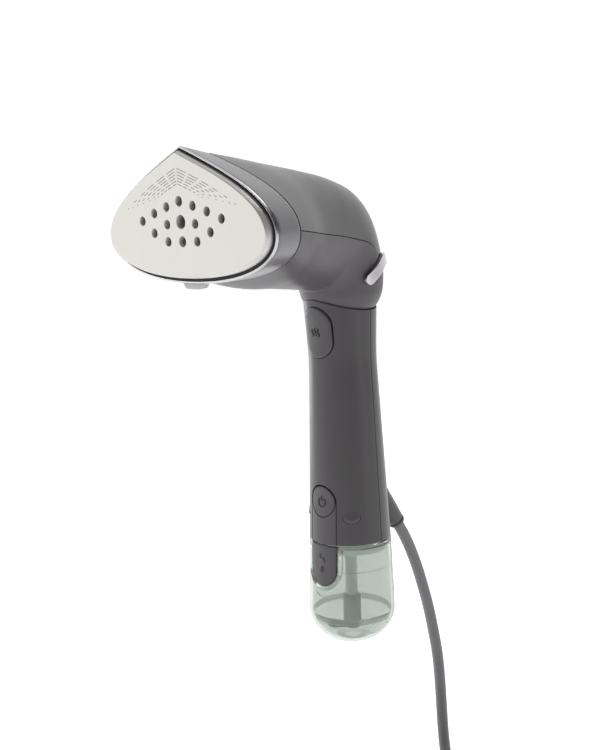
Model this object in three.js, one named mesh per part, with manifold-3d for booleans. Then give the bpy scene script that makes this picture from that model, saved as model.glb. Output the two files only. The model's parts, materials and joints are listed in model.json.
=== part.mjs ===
// Handheld garment steamer with a tilting head, a removable water tank and a mains cord.
// Millimetres, +Z up. The head faces -Y. The outside is symmetric about the plane X = 0, but for the cord.
// Heights are written from the joint between handle and tank. The whole model is then lowered, so that
// its origin is the middle of the grip, on the handle's axis.
import * as THREE from "three";
import { mergeVertices } from "three/addons/utils/BufferGeometryUtils.js";
import Module from "manifold-3d";

const wasm = await Module();
wasm.setup();
const { lerp, degToRad, smoothstep } = THREE.MathUtils;

// ---------------------------------------------------------------- driving dimensions
const GRIP_HEIGHT = 78; // middle of the grip above the tank joint
const GAP = 0.3; // air between pieces that touch
const WALL = 2.2; // casing thickness
const PER_QUARTER = 7; // outline points in each quarter of a section
const ROUND_SIDES = 20; // sides of a turned piece

const handle = { waist: 20.4, waistHeight: 110, top: 146, splitY: 1, lean: 0.0185 };
const flare = { below: 0.043, above: 0.055, soft: 8 }; // growth of the radius away from the waist
const upperGrip = { from: 90, narrower: 1.1, deeper: 0.9, forward: 0.4 }; // change up to the top
const ballRoom = { socket: 0.45, trigger: 1.2 }; // air round the head's ball
const pivot = { y: -2, z: 155.6, ball: 25.3 };
const plate = { y: -120, z: 193.8, tilt: degToRad(3.7), thickness: 6, holeRadius: 2.4 };
const flatOutline = { halfWidth: 62.8, top: 34.8, bottom: -28.2, side: -7.4, peak: 1 };
const collarDepth = 23;
const collarFront = { halfWidth: 67.2, top: 37.8, bottom: -32.6, side: -7.4, peak: 1 };
const collarRear = { halfWidth: 63.5, top: 33.6, bottom: -33.2, side: -7.6, peak: 0.9 };
const trigger = { z: 127, halfWidth: 10.5, halfHeight: 15.1, proud: 0.7 };
const power = { z: 26, radius: 9.2 };
const stripHalfWidth = 9.9; // the button strip and the fill door below it
const door = { bottom: -25.6, thickness: 1.3 };
const stopper = { halfWidth: 5.6, bottom: -21.5, top: -8 };
const latch = { z: 17.4, radius: 5.2, flatness: 0.68, angle: degToRad(46.8), proud: 1.3, depth: 6 };
const tank = { bottom: -65, weld: -47, wall: 2 };
const lever = { y: -6, z: 157.4, elbowY: 9.7, elbowZ: 168.3, width: 6.4, thickness: 2.2 };
const cord = { diameter: 7.3, floor: -180, lift: 1 };
const coil = { x: 22, y: -24, radius: 43.8, pitch: 7.45, columns: 4, turns: 8, start: degToRad(-68) };
const plug = { reach: 42, radius: 18.5, neck: 10, length: 42, pinRadius: 2.4, pinLength: 19, pinPitch: 19 };

// ---------------------------------------------------------------- solids
const v3 = (x, y, z) => new THREE.Vector3(x, y, z);

function solidOf(geometry) {
  const bare = new THREE.BufferGeometry();
  bare.setAttribute("position", geometry.getAttribute("position").clone());
  if (geometry.index) bare.setIndex(geometry.index.clone());
  const merged = mergeVertices(bare, 1e-4);
  return new wasm.Manifold(
    new wasm.Mesh({
      numProp: 3,
      vertProperties: new Float32Array(merged.attributes.position.array),
      triVerts: new Uint32Array(merged.index.array),
    }),
  );
}

function geometryOf(solid) {
  const mesh = solid.getMesh();
  const geometry = new THREE.BufferGeometry();
  geometry.setAttribute("position", new THREE.BufferAttribute(new Float32Array(mesh.vertProperties), 3));
  geometry.setIndex(new THREE.BufferAttribute(new Uint32Array(mesh.triVerts), 1));
  return geometry;
}

const cut = (solid, ...tools) => tools.reduce((left, tool) => left.subtract(tool), solid);
const join = (solid, ...others) => others.reduce((whole, other) => whole.add(other), solid);
const common = (solid, other) => solid.intersect(other);
const larger = (a, b) => (a.volume() > b.volume() ? a : b);
const largest = (solid) => solid.decompose().reduce(larger);

// A closed body through rings of the same number of points, with a fan of triangles over each end.
function loft(rings) {
  const count = rings[0].length;
  const points = rings.flat();
  const faces = [];
  for (let i = 0; i + 1 < rings.length; i++) {
    for (let j = 0; j < count; j++) {
      const a = i * count + j;
      const b = i * count + ((j + 1) % count);
      faces.push(a, b, b + count, a, b + count, a + count);
    }
  }
  const addFan = (ring, start, flip) => {
    const middle = ring.reduce((sum, p) => sum.add(p), v3(0, 0, 0)).divideScalar(count);
    const centre = points.push(middle) - 1;
    for (let j = 0; j < count; j++) {
      const a = start + j;
      const b = start + ((j + 1) % count);
      faces.push(...(flip ? [centre, b, a] : [centre, a, b]));
    }
  };
  addFan(rings[0], 0, true);
  addFan(rings.at(-1), (rings.length - 1) * count, false);
  const geometry = new THREE.BufferGeometry().setFromPoints(points);
  geometry.setIndex(faces);
  const solid = solidOf(geometry);
  if (solid.volume() > 0) return solid;
  geometry.setIndex(faces.toReversed());
  return solidOf(geometry);
}

const placed = (geometry, x, y, z) => solidOf(geometry.translate(x, y, z));
const box = (w, d, h, x, y, z) => placed(new THREE.BoxGeometry(w, d, h), x, y, z);
const ball = (r, y, z) => placed(new THREE.SphereGeometry(r, 28, 18), 0, y, z);
const upright = (r, h, x, y, z) =>
  placed(new THREE.CylinderGeometry(r, r, h, ROUND_SIDES).rotateX(Math.PI / 2), x, y, z);
const across = (r, w, x, y, z) =>
  placed(new THREE.CylinderGeometry(r, r, w, ROUND_SIDES).rotateZ(Math.PI / 2), x, y, z);
const alongY = (r, d, x, y, z, sides = 12) => placed(new THREE.CylinderGeometry(r, r, d, sides), x, y, z);

// A cylinder or cone between two points.
function cone(from, to, fromRadius, toRadius, sides = ROUND_SIDES) {
  const turn = new THREE.Quaternion().setFromUnitVectors(v3(0, 1, 0), to.clone().sub(from).normalize());
  const middle = from.clone().add(to).divideScalar(2);
  const geometry = new THREE.CylinderGeometry(toRadius, fromRadius, from.distanceTo(to), sides);
  return placed(geometry.applyQuaternion(turn), middle.x, middle.y, middle.z);
}

// A round bar along a smooth curve through the points.
function hose(points, radius, steps = 3 * points.length) {
  const circle = new THREE.Shape().absarc(0, 0, radius, 0, 2 * Math.PI);
  const extrudePath = new THREE.CatmullRomCurve3(points, false, "centripetal");
  const options = { steps, bevelEnabled: false, extrudePath, curveSegments: 4 };
  return solidOf(new THREE.ExtrudeGeometry(circle, options));
}

// An upright panel seen from the front, with a round or square top and bottom,
// that runs back from y0 to y1.
function panel(halfWidth, low, high, y0, y1, roundTop = true, roundBottom = true) {
  const shape = new THREE.Shape();
  const topZ = roundTop ? high - halfWidth : high;
  const bottomZ = roundBottom ? low + halfWidth : low;
  shape.moveTo(halfWidth, bottomZ);
  shape.lineTo(halfWidth, topZ);
  if (roundTop) shape.absarc(0, topZ, halfWidth, 0, Math.PI);
  else shape.lineTo(-halfWidth, topZ);
  shape.lineTo(-halfWidth, bottomZ);
  if (roundBottom) shape.absarc(0, bottomZ, halfWidth, Math.PI, 2 * Math.PI);
  const options = { depth: y1 - y0, bevelEnabled: false, curveSegments: 8 };
  const geometry = new THREE.ExtrudeGeometry(shape, options);
  return placed(geometry.rotateX(Math.PI / 2), 0, y1, 0);
}
const frontPanel = (halfWidth, low, high, ...ends) => panel(halfWidth, low, high, -40, -5, ...ends);

// ---------------------------------------------------------------- sections
// An outline is symmetric about X = 0. Each quarter of it is one curve, round where peak is 0, and with
// a pointed top and flatter flanks where peak is 1.
function outline({ halfWidth, top, bottom, side, peak }) {
  const round = 0.5523;
  const upper = new THREE.CubicBezierCurve(
    new THREE.Vector2(0, top),
    new THREE.Vector2(lerp(round, 0.5, peak) * halfWidth, top - 0.3 * peak * (top - side)),
    new THREE.Vector2(halfWidth, side + lerp(round, 0.39, peak) * (top - side)),
    new THREE.Vector2(halfWidth, side),
  );
  const lower = new THREE.CubicBezierCurve(
    new THREE.Vector2(halfWidth, side),
    new THREE.Vector2(halfWidth, side - lerp(round, 0.63, peak) * (side - bottom)),
    new THREE.Vector2(lerp(round, 0.59, peak) * halfWidth, bottom),
    new THREE.Vector2(0, bottom),
  );
  const right = [...upper.getPoints(PER_QUARTER), ...lower.getPoints(PER_QUARTER).slice(1)];
  const left = right.slice(1, -1).reverse().map((p) => new THREE.Vector2(-p.x, p.y));
  return [...right, ...left];
}

// The outline moved outwards, by less at its pointed top.
const grown = (o, by) => ({
  ...o,
  halfWidth: o.halfWidth + by,
  top: o.top + by * lerp(1, 0.75, o.peak),
  bottom: o.bottom - by,
});

// The heated plate's own frame: x across, y up the plate, z out of its face. Depths run back from the face.
const plateFrame = new THREE.Matrix4()
  .makeRotationX(Math.PI / 2 + plate.tilt)
  .setPosition(0, plate.y, plate.z);
const onPlate = (x, y, depth) => v3(x, y, -depth).applyMatrix4(plateFrame);
const plateRing = (o, depth) => outline(o).map((p) => onPlate(p.x, p.y, depth));
const plateBlock = (o, from, to) => loft([plateRing(o, from), plateRing(o, to)]);
const plateRod = (r, from, to, x, y, sides = 10) =>
  cone(onPlate(x, y, from), onPlate(x, y, to), r, r, sides);

// A section of the head through two points of the plane X = 0, each given as [y, z].
function headRing({ top, bottom, halfWidth, side = 0.5, peak = 0 }, inset) {
  const share = inset / Math.hypot(top[0] - bottom[0], top[1] - bottom[1]);
  const shape = { halfWidth: halfWidth - inset, top: 1 - share, bottom: share, side, peak };
  return outline(shape).map((p) => v3(p.x, lerp(bottom[0], top[0], p.y), lerp(bottom[1], top[1], p.y)));
}

function ballSection(front, back) {
  const onBall = (degrees) => {
    const a = degToRad(degrees);
    return [pivot.y + pivot.ball * Math.cos(a), pivot.z + pivot.ball * Math.sin(a)];
  };
  const top = onBall(back);
  const bottom = onBall(180 - front);
  return { top, bottom, halfWidth: Math.hypot(top[0] - bottom[0], top[1] - bottom[1]) / 2 };
}

function plateSection({ halfWidth, top, bottom, side, peak }, depth) {
  const high = onPlate(0, top, depth);
  const low = onPlate(0, bottom, depth);
  return {
    top: [high.y, high.z],
    bottom: [low.y, low.z],
    halfWidth,
    side: (side - bottom) / (top - bottom),
    peak,
  };
}

// From the collar back over the dome, then down round the ball that sits in the handle.
const headSections = [
  plateSection(collarRear, collarDepth + GAP),
  { top: [-81, 226.6], bottom: [-79, 156.6], halfWidth: 55.5, side: 0.43, peak: 0.6 },
  { top: [-62, 223.6], bottom: [-63, 155.4], halfWidth: 46, side: 0.46, peak: 0.3 },
  { top: [-41, 220.2], bottom: [-46, 153.8], halfWidth: 39, side: 0.48, peak: 0.1 },
  { top: [-20, 216], bottom: [-35, 152.6], halfWidth: 33.8 },
  { top: [-4, 210.5], bottom: [-31, 152.2], halfWidth: 30.6 },
  { top: [7.5, 201.6], bottom: [-29.2, 151.8], halfWidth: 28.3 },
  { top: [15.2, 190.2], bottom: [-28.4, 151.2], halfWidth: 26.8 },
  { top: [20.4, 176.5], bottom: [-27.7, 150.8], halfWidth: 25.8 },
  ballSection(-10, 6),
  ballSection(-22, -14),
  ballSection(-36, -26),
  ballSection(-47, -34),
  ballSection(-58, -41),
];

// ---------------------------------------------------------------- the assembly and its finishes
const paint = (color, roughness, metalness = 0) =>
  new THREE.MeshStandardMaterial({ color, roughness, metalness });
const finishes = {
  casing: paint(0x5b595b, 0.5),
  collar: paint(0x8a888b, 0.4),
  bezel: paint(0xc9cacb, 0.3),
  soleplate: paint(0xe4e4dd, 0.25, 0.3),
  rubber: paint(0x1b1b1c, 0.8),
  control: paint(0x605e60, 0.5),
  chrome: paint(0xc4c4c4, 0.2, 1),
  tankClear: paint(0xa9bdb2, 0.1),
  tankTube: paint(0x7f8f86, 0.4),
  castMetal: paint(0xa8a9aa, 0.5, 0.8),
  steel: paint(0xb8b8ba, 0.3, 1),
  board: paint(0x2d5a3a, 0.6),
  whitePlastic: paint(0xe2e2de, 0.5),
  copper: paint(0xb06a3a, 0.4, 0.8),
  cordJacket: paint(0x7b797c, 0.6),
  brass: paint(0xc2a35c, 0.3, 1),
};

const steamer = new THREE.Group();
steamer.position.z = -GRIP_HEIGHT;

function add(name, solid, finish) {
  const mesh = new THREE.Mesh(geometryOf(solid), finishes[finish]);
  mesh.name = name;
  steamer.add(mesh);
}

// ---------------------------------------------------------------- handle
// A slightly waisted round handle that leans back a little, and is deeper than wide at its top.
function handleRadius(z) {
  const away = Math.hypot(z - handle.waistHeight, flare.soft) - flare.soft;
  return handle.waist + away * (z < handle.waistHeight ? flare.below : flare.above);
}
const handleCentre = (z) => -handle.lean * z;

function handleRing(z, inset) {
  const r = handleRadius(z) - inset;
  const squash = Math.max(0, (z - upperGrip.from) / (handle.top - upperGrip.from));
  const halfWidth = r - upperGrip.narrower * squash;
  const halfDepth = r + upperGrip.deeper * squash;
  const middle = handleCentre(z) - upperGrip.forward * squash;
  return Array.from({ length: 4 * PER_QUARTER }, (_, i) => {
    const a = (i / (4 * PER_QUARTER)) * 2 * Math.PI;
    return v3(halfWidth * Math.sin(a), middle - halfDepth * Math.cos(a), z);
  });
}
const handleHeights = [GAP, 24, 50, 75, 96, 110, 122, 134, handle.top];

// Pieces that lie in the handle's skin are cut from a layer of it.
function skin(outer, inner) {
  const insideHeights = [-1, ...handleHeights.slice(1, -1), handle.top + 1];
  return cut(
    loft(handleHeights.map((z) => handleRing(z, outer))),
    loft(insideHeights.map((z) => handleRing(z, inner))),
  );
}

// A level oval rod that runs out through the handle's skin, for a latch button or its hole.
function latchRod(grow, side, from, to) {
  const out = v3(side * Math.sin(latch.angle), -Math.cos(latch.angle), 0);
  const radius = latch.radius + grow;
  const round = cone(out.clone().multiplyScalar(from), out.clone().multiplyScalar(to), radius, radius, 16);
  return round.scale([1, 1, latch.flatness]).translate([0, 0, latch.z]);
}

function makeHandle() {
  const half = (side) => box(80, 60, 200, 0, handle.splitY + side * (30 + GAP / 2), 70);
  const casing = cut(skin(0, WALL), ball(pivot.ball + ballRoom.socket, pivot.y, pivot.z));
  const { halfWidth, halfHeight } = trigger;
  const triggerPanel = (grow) =>
    frontPanel(halfWidth + grow, trigger.z - halfHeight - grow, trigger.z + halfHeight + grow);
  const stripPanel = (grow) =>
    frontPanel(stripHalfWidth + grow, -5, power.z + stripHalfWidth + grow, true, false);
  const powerDisc = (grow) =>
    frontPanel(power.radius + grow, power.z - power.radius - grow, power.z + power.radius + grow);
  const latchHoles = [1, -1].map((side) => latchRod(GAP, side, 15, 35));
  const frontShell = cut(common(casing, half(-1)), triggerPanel(GAP), stripPanel(GAP), ...latchHoles);
  add("handle_front_shell", frontShell, "casing");
  add("handle_back_shell", cut(common(casing, half(1)), strainCone(GAP + 0.3)), "casing");

  add("button_strip", cut(common(skin(0.1, WALL), stripPanel(0)), powerDisc(GAP)), "control");
  add("power_button", common(skin(-0.1, 3.2), powerDisc(0)), "control");
  const clearOfBall = ball(pivot.ball + ballRoom.trigger, pivot.y, pivot.z);
  add("steam_trigger", cut(common(skin(-trigger.proud, 3.4), triggerPanel(0)), clearOfBall), "control");
  for (const [name, side] of [["right", 1], ["left", -1]]) {
    const outer = handleRadius(latch.z) + latch.proud;
    add(`tank_latch_button_${name}`, latchRod(0, side, outer - latch.depth, outer), "control");
  }
}

// ---------------------------------------------------------------- what the handle holds
function makeInsides() {
  const pinHole = across(2.4, 40, 0, pivot.y, pivot.z);
  const spine = box(22, 2.4, 84, 0, 7, 64);
  const foot = cut(upright(16.8, 3, 0, 0, 21.5), upright(9, 5, 0, -6, 21.5));
  const screwHeights = [40, 88];
  const spineHoles = screwHeights.map((z) => alongY(1.6, 20, 0, 7, z));
  const post = join(box(9, 8, 34, 0, 0.3, 122), box(9, 9, 22, 0, pivot.y, pivot.z - 10));
  const eye = across(6, 9, 0, pivot.y, pivot.z);
  const chassis = join(spine, foot, box(9, 6, 8, 0, 4.6, 106), post, eye);
  add("chassis", cut(chassis, pinHole, ...spineHoles), "whitePlastic");
  add("hinge_pin", across(2, 38, 0, pivot.y, pivot.z), "steel");

  const boardHoles = screwHeights.map((z) => alongY(1.6, 8, 0, 11.5, z));
  add("control_board", cut(box(19, 1.6, 66, 0, 11.5, 66), ...boardHoles), "board");
  for (const [i, z] of screwHeights.entries()) {
    const screw = join(alongY(1.2, 7, 0, 9.2, z), alongY(2.6, 1.6, 0, 13.4, z));
    add(`chassis_screw_${i + 1}`, screw, "steel");
  }

  const pumpY = -5;
  const core = join(upright(6, 34, 0, pumpY, 56), upright(2.5, 44, 0, pumpY, 56));
  add("pump_body", core, "whitePlastic");
  add("pump_coil", cut(upright(10, 22, 0, pumpY, 56), upright(6.4, 40, 0, pumpY, 56)), "copper");
  add("steam_switch", box(8, 4, 12, 0, -10.9, 124), "rubber");
  add("power_switch", box(7, 4, 6, 0, -15.9, power.z + 1.5), "rubber");

  const socket = cut(upright(6.5, 12, 0, 0, 7), upright(4, 10, 0, 0, 3));
  const flange = join(socket, upright(16, 2, 0, 0, 14), upright(3.6, 6, 0, 0, 17));
  add("tank_inlet", cut(flange, upright(2, 60, 0, 0, 7)), "whitePlastic");
  const inlet = [[0, 0, 20.4], [0, -0.5, 25], [0, -4.5, 29], [0, pumpY, 33.6]];
  add("inlet_hose", hose(inlet.map((p) => v3(...p)), 2), "rubber");
  const riserPoints = [
    [0, pumpY, 78.4],
    [0, -6, 86],
    [4, -11.5, 98],
    [8, -9, 112],
    [8.5, -5, 126],
    [8.5, -2, 138],
  ];
  const riser = riserPoints.map((p) => v3(...p));
  add("pump_hose", hose(riser, 2), "rubber");
}

// ---------------------------------------------------------------- tank
// The wall's outer radius against height, rounded into a small flat base.
const tankProfile = [[0, 24.9], [-20, 25.6], [-40, 26.3], [-47, 26.2], [-51, 25.2], [-55, 23.1],
  [-59, 19.8], [-62, 15.9], [-64.2, 11.4], [tank.bottom, 7]];

function tankBody(inset, from, to) {
  const bottom = tank.bottom + inset;
  const side = tankProfile.toReversed().map(([z, r]) => new THREE.Vector2(r - inset, Math.max(z, bottom)));
  const top = new THREE.Vector2(tankProfile[0][1] - inset, 2);
  const profile = [new THREE.Vector2(0, bottom), ...side, top, new THREE.Vector2(0, 2)];
  const turned = solidOf(new THREE.LatheGeometry(profile, 4 * PER_QUARTER).rotateX(Math.PI / 2));
  return common(turned, box(80, 80, to - from, 0, 0, (from + to) / 2));
}

function makeTank() {
  const layer = (outer, inner, top = -GAP) => cut(tankBody(outer, -90, top), tankBody(inner, -100, 10));
  const doorPanel = (grow) => frontPanel(stripHalfWidth + grow, door.bottom - grow, 8, false, true);
  const stopperPanel = (grow) =>
    frontPanel(stopper.halfWidth + grow, stopper.bottom - grow, stopper.top + grow);
  const seat = door.thickness + GAP;
  const upper = cut(tankBody(0, tank.weld + GAP / 2, -GAP), tankBody(tank.wall, -100, 10));
  const backingPanel = frontPanel(stripHalfWidth + 1.6, door.bottom - 1.6, -3, false, true);
  const backing = common(layer(1, seat + 1.6), backingPanel);
  const doorRecess = join(
    common(layer(-2, seat, 1), doorPanel(GAP)),
    common(layer(-2, 4, 1), frontPanel(stripHalfWidth + GAP, -3.4, 8, false, false)),
  );
  add("tank_wall", cut(join(upper, backing), doorRecess, stopperPanel(0.6)), "tankClear");
  add("tank_base", cut(tankBody(0, -90, tank.weld - GAP / 2), tankBody(tank.wall, -100, 10)), "tankClear");

  const lidDisc = common(tankBody(tank.wall + GAP, -6, -2.5), box(60, 60, 4, 0, 0, -4));
  const besideDoor = common(layer(0, seat + 2, 0), frontPanel(stripHalfWidth + 2, -10, 2, false, false));
  add("tank_lid", cut(lidDisc, upright(4, 20, 0, 0, -4), besideDoor), "tankClear");
  add("tank_valve", cut(upright(3.7, 13, 0, 0, -2.5), upright(1.5, 30, 0, 0, -3)), "whitePlastic");
  add("suction_tube", cut(upright(3.7, 28, 0, 0, -23.3), upright(2.4, 60, 0, 0, -32)), "tankTube");
  // The filter's foot reaches out to one side, near the bottom of the tank.
  const foot = join(box(7, 13, 4.6, 0, -6, -57.2), upright(3.5, 4.6, 0, -12.5, -57.2));
  const sump = join(upright(5.5, 22, 0, 0, -48.4), foot.rotate([0, 0, -45]));
  add("intake_filter", cut(sump, upright(3.2, 30, 0, 0, -40)), "tankTube");

  add("fill_door", common(layer(0, door.thickness), doorPanel(0)), "control");
  add("fill_stopper", common(layer(door.thickness + GAP, 3.9), stopperPanel(0)), "rubber");
}

// ---------------------------------------------------------------- head
function makeHead() {
  const outer = headSections.map((section) => headRing(section, 0));
  const inner = headSections.map((section) => headRing(section, WALL));
  const forward = onPlate(0, 0, 0).sub(onPlate(0, 0, 10));
  inner.unshift(inner[0].map((p) => p.clone().add(forward)));
  inner.push(inner.at(-1).map((p) => p.clone().add(v3(0, 3, -8))));
  const casing = cut(loft(outer), loft(inner));

  // The joint between the two head shells runs back along the widest line, drops at the neck, and goes on
  // to the rear under the release lever.
  const splitLine = [
    [-150, 191],
    [-90, 187],
    [-55, 184.2],
    [-32, 182],
    [-18, 180],
    [-5, 177.4],
    [0.5, 174.3],
    [2.6, 169.5],
    [3, 163],
    [lever.elbowY, lever.elbowZ],
    [40, lever.elbowZ],
  ];
  const above = (lift) => {
    const border = [...splitLine, [40, 260], [-150, 260]];
    const shape = new THREE.Shape(border.map(([y, z]) => new THREE.Vector2(y, z + lift)));
    const geometry = new THREE.ExtrudeGeometry(shape, { depth: 160, bevelEnabled: false });
    return placed(geometry.rotateX(Math.PI / 2).rotateZ(Math.PI / 2), -80, 0, 0);
  };
  add("head_upper_shell", common(casing, above(GAP)), "casing");
  add("head_lower_shell", cut(casing, above(0)), "casing");
  const aroundHead = (by) => loft(headSections.map((section) => headRing(section, -by)));
  const leverLayer = cut(aroundHead(GAP + lever.thickness), aroundHead(GAP));
  add("head_release_lever", common(leverLayer, leverSide()), "chrome");

  const collar = cut(
    loft([plateRing(collarFront, 5), plateRing(collarRear, collarDepth)]),
    loft([plateRing(grown(collarFront, -1.5), 4), plateRing(grown(collarRear, -1.5), collarDepth + 1)]),
  );
  add("head_collar", collar, "collar");

  const side = grown(flatOutline, 1.3);
  const soleplate = loft([
    plateRing(flatOutline, 0),
    plateRing(side, 2.2),
    plateRing(side, plate.thickness),
  ]);
  const holes = steamHoles().map(([x, y, r]) => plateRod(r, -2, plate.thickness + 2, x, y, 8));
  add("soleplate", cut(soleplate, ...holes), "soleplate");
  add("plate_seal", cut(
    plateBlock(grown(flatOutline, 2.4), 3, 4.7),
    plateBlock(grown(flatOutline, 1.75), 2, 6),
  ), "rubber");

  const bezelInside = plateBlock(grown(flatOutline, 2.9), 2, 9);
  const bezel = loft([plateRing(grown(flatOutline, 4), 3.6), plateRing(grown(flatOutline, 4.3), 4.7)]);
  add("bezel_ring", cut(bezel, bezelInside), "bezel");

  // A small catch under the rim, where an accessory clips on.
  const corners = [[-1, 1], [1, 1], [1, -1], [-1, -1]];
  const tabRing = (t) => {
    const place = ([x, y]) =>
      onPlate(x * lerp(8.6, 6.6, t), collarFront.bottom + 1 - 3.9 * t, 6.4 + 1.8 * y);
    return corners.map(place);
  };
  const tab = loft([tabRing(0), tabRing(1)]);
  add("accessory_catch", cut(tab, plateBlock(grown(collarFront, 0.3), 2, 20)), "bezel");
}

// The release lever's side view: a bar that rises from a round end at each side, and runs level round
// the back of the neck.
function leverSide() {
  const bar = (fromY, fromZ, toY, toZ) => {
    const r = lever.width / 2;
    const length = Math.hypot(toY - fromY, toZ - fromZ);
    const profile = new THREE.Shape();
    profile.absarc(0, 0, r, Math.PI / 2, 1.5 * Math.PI);
    profile.absarc(length, 0, r, 1.5 * Math.PI, 2.5 * Math.PI);
    const options = { depth: 80, bevelEnabled: false, curveSegments: 6 };
    const geometry = new THREE.ExtrudeGeometry(profile, options)
      .rotateX(Math.PI / 2)
      .rotateZ(Math.PI / 2)
      .translate(-40, 0, 0)
      .rotateX(Math.atan2(toZ - fromZ, toY - fromY));
    return placed(geometry, 0, fromY, fromZ);
  };
  const { y, z, elbowY, elbowZ } = lever;
  return join(bar(y, z, elbowY, elbowZ), bar(elbowY, elbowZ, 60, elbowZ));
}

// Three rows of round steam holes, as [x, y, radius] on the plate.
function steamHoles() {
  const rows = [
    { pitch: 10.7, heights: [10.5, 7.9, 4.8, 1], middle: 2.6 },
    { pitch: 11.4, heights: [0, -1.2, -5.5], middle: 3.5 },
    { pitch: 11.8, heights: [-10.1, -10.1], middle: 2.7 },
  ];
  return rows.flatMap(({ pitch, heights, middle }) =>
    heights.flatMap((y, i) => {
      if (i === 0) return [[0, y, middle]];
      return [-1, 1].map((side) => [side * pitch * i, y, plate.holeRadius]);
    }));
}

// ---------------------------------------------------------------- what the head holds
function makeHeater() {
  const block = { halfWidth: 50, top: 24, bottom: -22, side: -6, peak: 0.8 };
  const cavity = grown(block, -4);
  add("steam_chamber", cut(plateBlock(block, 6.3, 18), plateBlock(cavity, 5, 14)), "castMetal");
  add("chamber_cover", plateBlock(grown(block, -1), 18.3, 20.3), "steel");
  const bends = [[-34, 6], [-22, -8], [0, -14], [22, -8], [34, 6]];
  add("heating_element", hose(bends.map(([x, y]) => onPlate(x, y, 10.2)), 3.2), "steel");
  add("thermostat", plateRod(7, 20.6, 26, -22, 2, 16), "steel");
  add("thermal_fuse", plateRod(3, 20.6, 28, 22, 4, 12), "whitePlastic");
  const back = [
    onPlate(0, -4, 20.7),
    onPlate(0, -4, 34),
    v3(3, -64, 186),
    v3(9, -34, 176),
    v3(11.5, -16, 162),
    v3(11.5, -8, 150),
  ];
  add("steam_hose", hose(back, 2), "rubber");

  // A yoke that carries the head on the handle's hinge pin.
  const pinHole = across(2.4, 60, 0, pivot.y, pivot.z);
  const ears = [-16.8, 16.8].map((x) =>
    join(box(3, 12, 12, x, pivot.y, pivot.z + 6), across(6, 3, x, pivot.y, pivot.z)));
  const bridge = box(36.6, 12, 3, 0, pivot.y, pivot.z + 11.5);
  add("hinge_yoke", cut(join(bridge, ...ears), pinHole), "whitePlastic");
}

// ---------------------------------------------------------------- cord
const strainFrom = v3(0, 18.2, 30);
const strainTo = v3(0, 44, -1.6);
const strainCone = (grow) => cone(strainFrom, strainTo, 8 + grow, 5.3 + grow);

// The stored length lies in a coil of two layers, four turns wide, wound clockwise from the outside in and
// back out, with most of a turn on top. Steps from one column or layer to the next each take 0.3 of a turn.
const coilLay = cord.floor + cord.lift + cord.diameter / 2;
function coilPoint(turn) {
  const step = (from) => smoothstep(turn, from, from + 0.3);
  const inward = step(-0.3) + step(0.7) + step(1.7) + step(2.7);
  const outward = step(4.08) + step(5.08) + step(6.08);
  const layer = step(3.4) + step(6.78);
  const radius = coil.radius + coil.pitch * ((coil.columns - 1) / 2 + 1 - inward + outward);
  const angle = coil.start - 2 * Math.PI * turn;
  const height = coilLay + coil.pitch * layer;
  return v3(coil.x + radius * Math.cos(angle), coil.y + radius * Math.sin(angle), height);
}
const coilPoints = (from, to, steps) =>
  Array.from({ length: steps + 1 }, (_, i) => coilPoint(lerp(from, to, i / steps)));

function makeCord() {
  const insideHandle = box(40, 40, 90, 0, -1.2, 20);
  add("cord_strain_relief", cut(strainCone(0), insideHandle), "casing");

  // The cord hangs from the strain relief, and comes down to the surface below.
  const route = [
    v3(0, 44.3, -2),
    v3(0.4, 51.5, -13.5),
    v3(1, 59.5, -30),
    v3(2.2, 65.2, -47),
    v3(3.8, 69.4, -64),
    v3(5.5, 72.4, -82),
    v3(7.2, 74.4, -100),
    v3(9.4, 73.8, -118),
    v3(12.5, 71.2, -135),
    v3(17.5, 66.5, -151),
    v3(25.5, 59.5, -165),
    v3(36, 49.5, -173),
    v3(47, 38.5, coilLay),
    v3(58.5, 27.5, coilLay),
    ...coilPoints(-0.3, 0, 6),
  ];
  const radius = cord.diameter / 2;
  add("mains_cord", hose(route, radius, 50), "cordJacket");

  const exit = coilPoint(coil.turns);
  const heading = v3(Math.sin(coil.start), -Math.cos(coil.start), 0);
  const sideways = v3(Math.cos(coil.start), Math.sin(coil.start), 0);
  const plugHeight = cord.floor + plug.radius;
  const along = (reach, side = 0) =>
    exit.clone().addScaledVector(heading, reach).addScaledVector(sideways, side).setZ(plugHeight);
  const tail = [...coilPoints(6.78, coil.turns, 26), along(14), along(28), along(plug.reach - GAP)];
  add("cord_tail", hose(tail, radius, 60), "cordJacket");

  const half = ((coil.columns - 1) * coil.pitch + cord.diameter) / 2;
  const low = coilLay - radius;
  const high = coilLay + coil.pitch + radius - GAP;
  const corner = 2;
  const profile = [
    [-half, low + corner],
    [corner - half, low],
    [half - corner, low],
    [half, low + corner],
    [half, high - corner],
    [half - corner, high],
    [corner - half, high],
    [-half, high - corner],
    [-half, low + corner],
  ];
  const section = profile.map(([r, z]) => new THREE.Vector2(coil.radius + r, z));
  const turned = new THREE.LatheGeometry(section, 40);
  const ring = placed(turned.rotateX(Math.PI / 2), coil.x, coil.y, 0);
  const room = radius + GAP;
  add("cord_coil", largest(cut(ring, hose(route, room, 50), hose(tail, room, 60))), "cordJacket");

  const shoulder = plug.reach + 14;
  const end = plug.reach + plug.length;
  const grip = cone(along(plug.reach), along(shoulder), plug.neck, plug.radius, 24);
  const face = cone(along(shoulder), along(end), plug.radius, plug.radius, 24);
  add("mains_plug", join(grip, face), "cordJacket");
  for (const [i, side] of [-1, 1].entries()) {
    const offset = (side * plug.pinPitch) / 2;
    const from = along(end + GAP, offset);
    const to = along(end + GAP + plug.pinLength, offset);
    add(`plug_pin_${i + 1}`, cone(from, to, plug.pinRadius, plug.pinRadius, 12), "brass");
  }
}

makeHandle();
makeInsides();
makeTank();
makeHead();
makeHeater();
makeCord();

export default steamer;
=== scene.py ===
import json
import math

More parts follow.
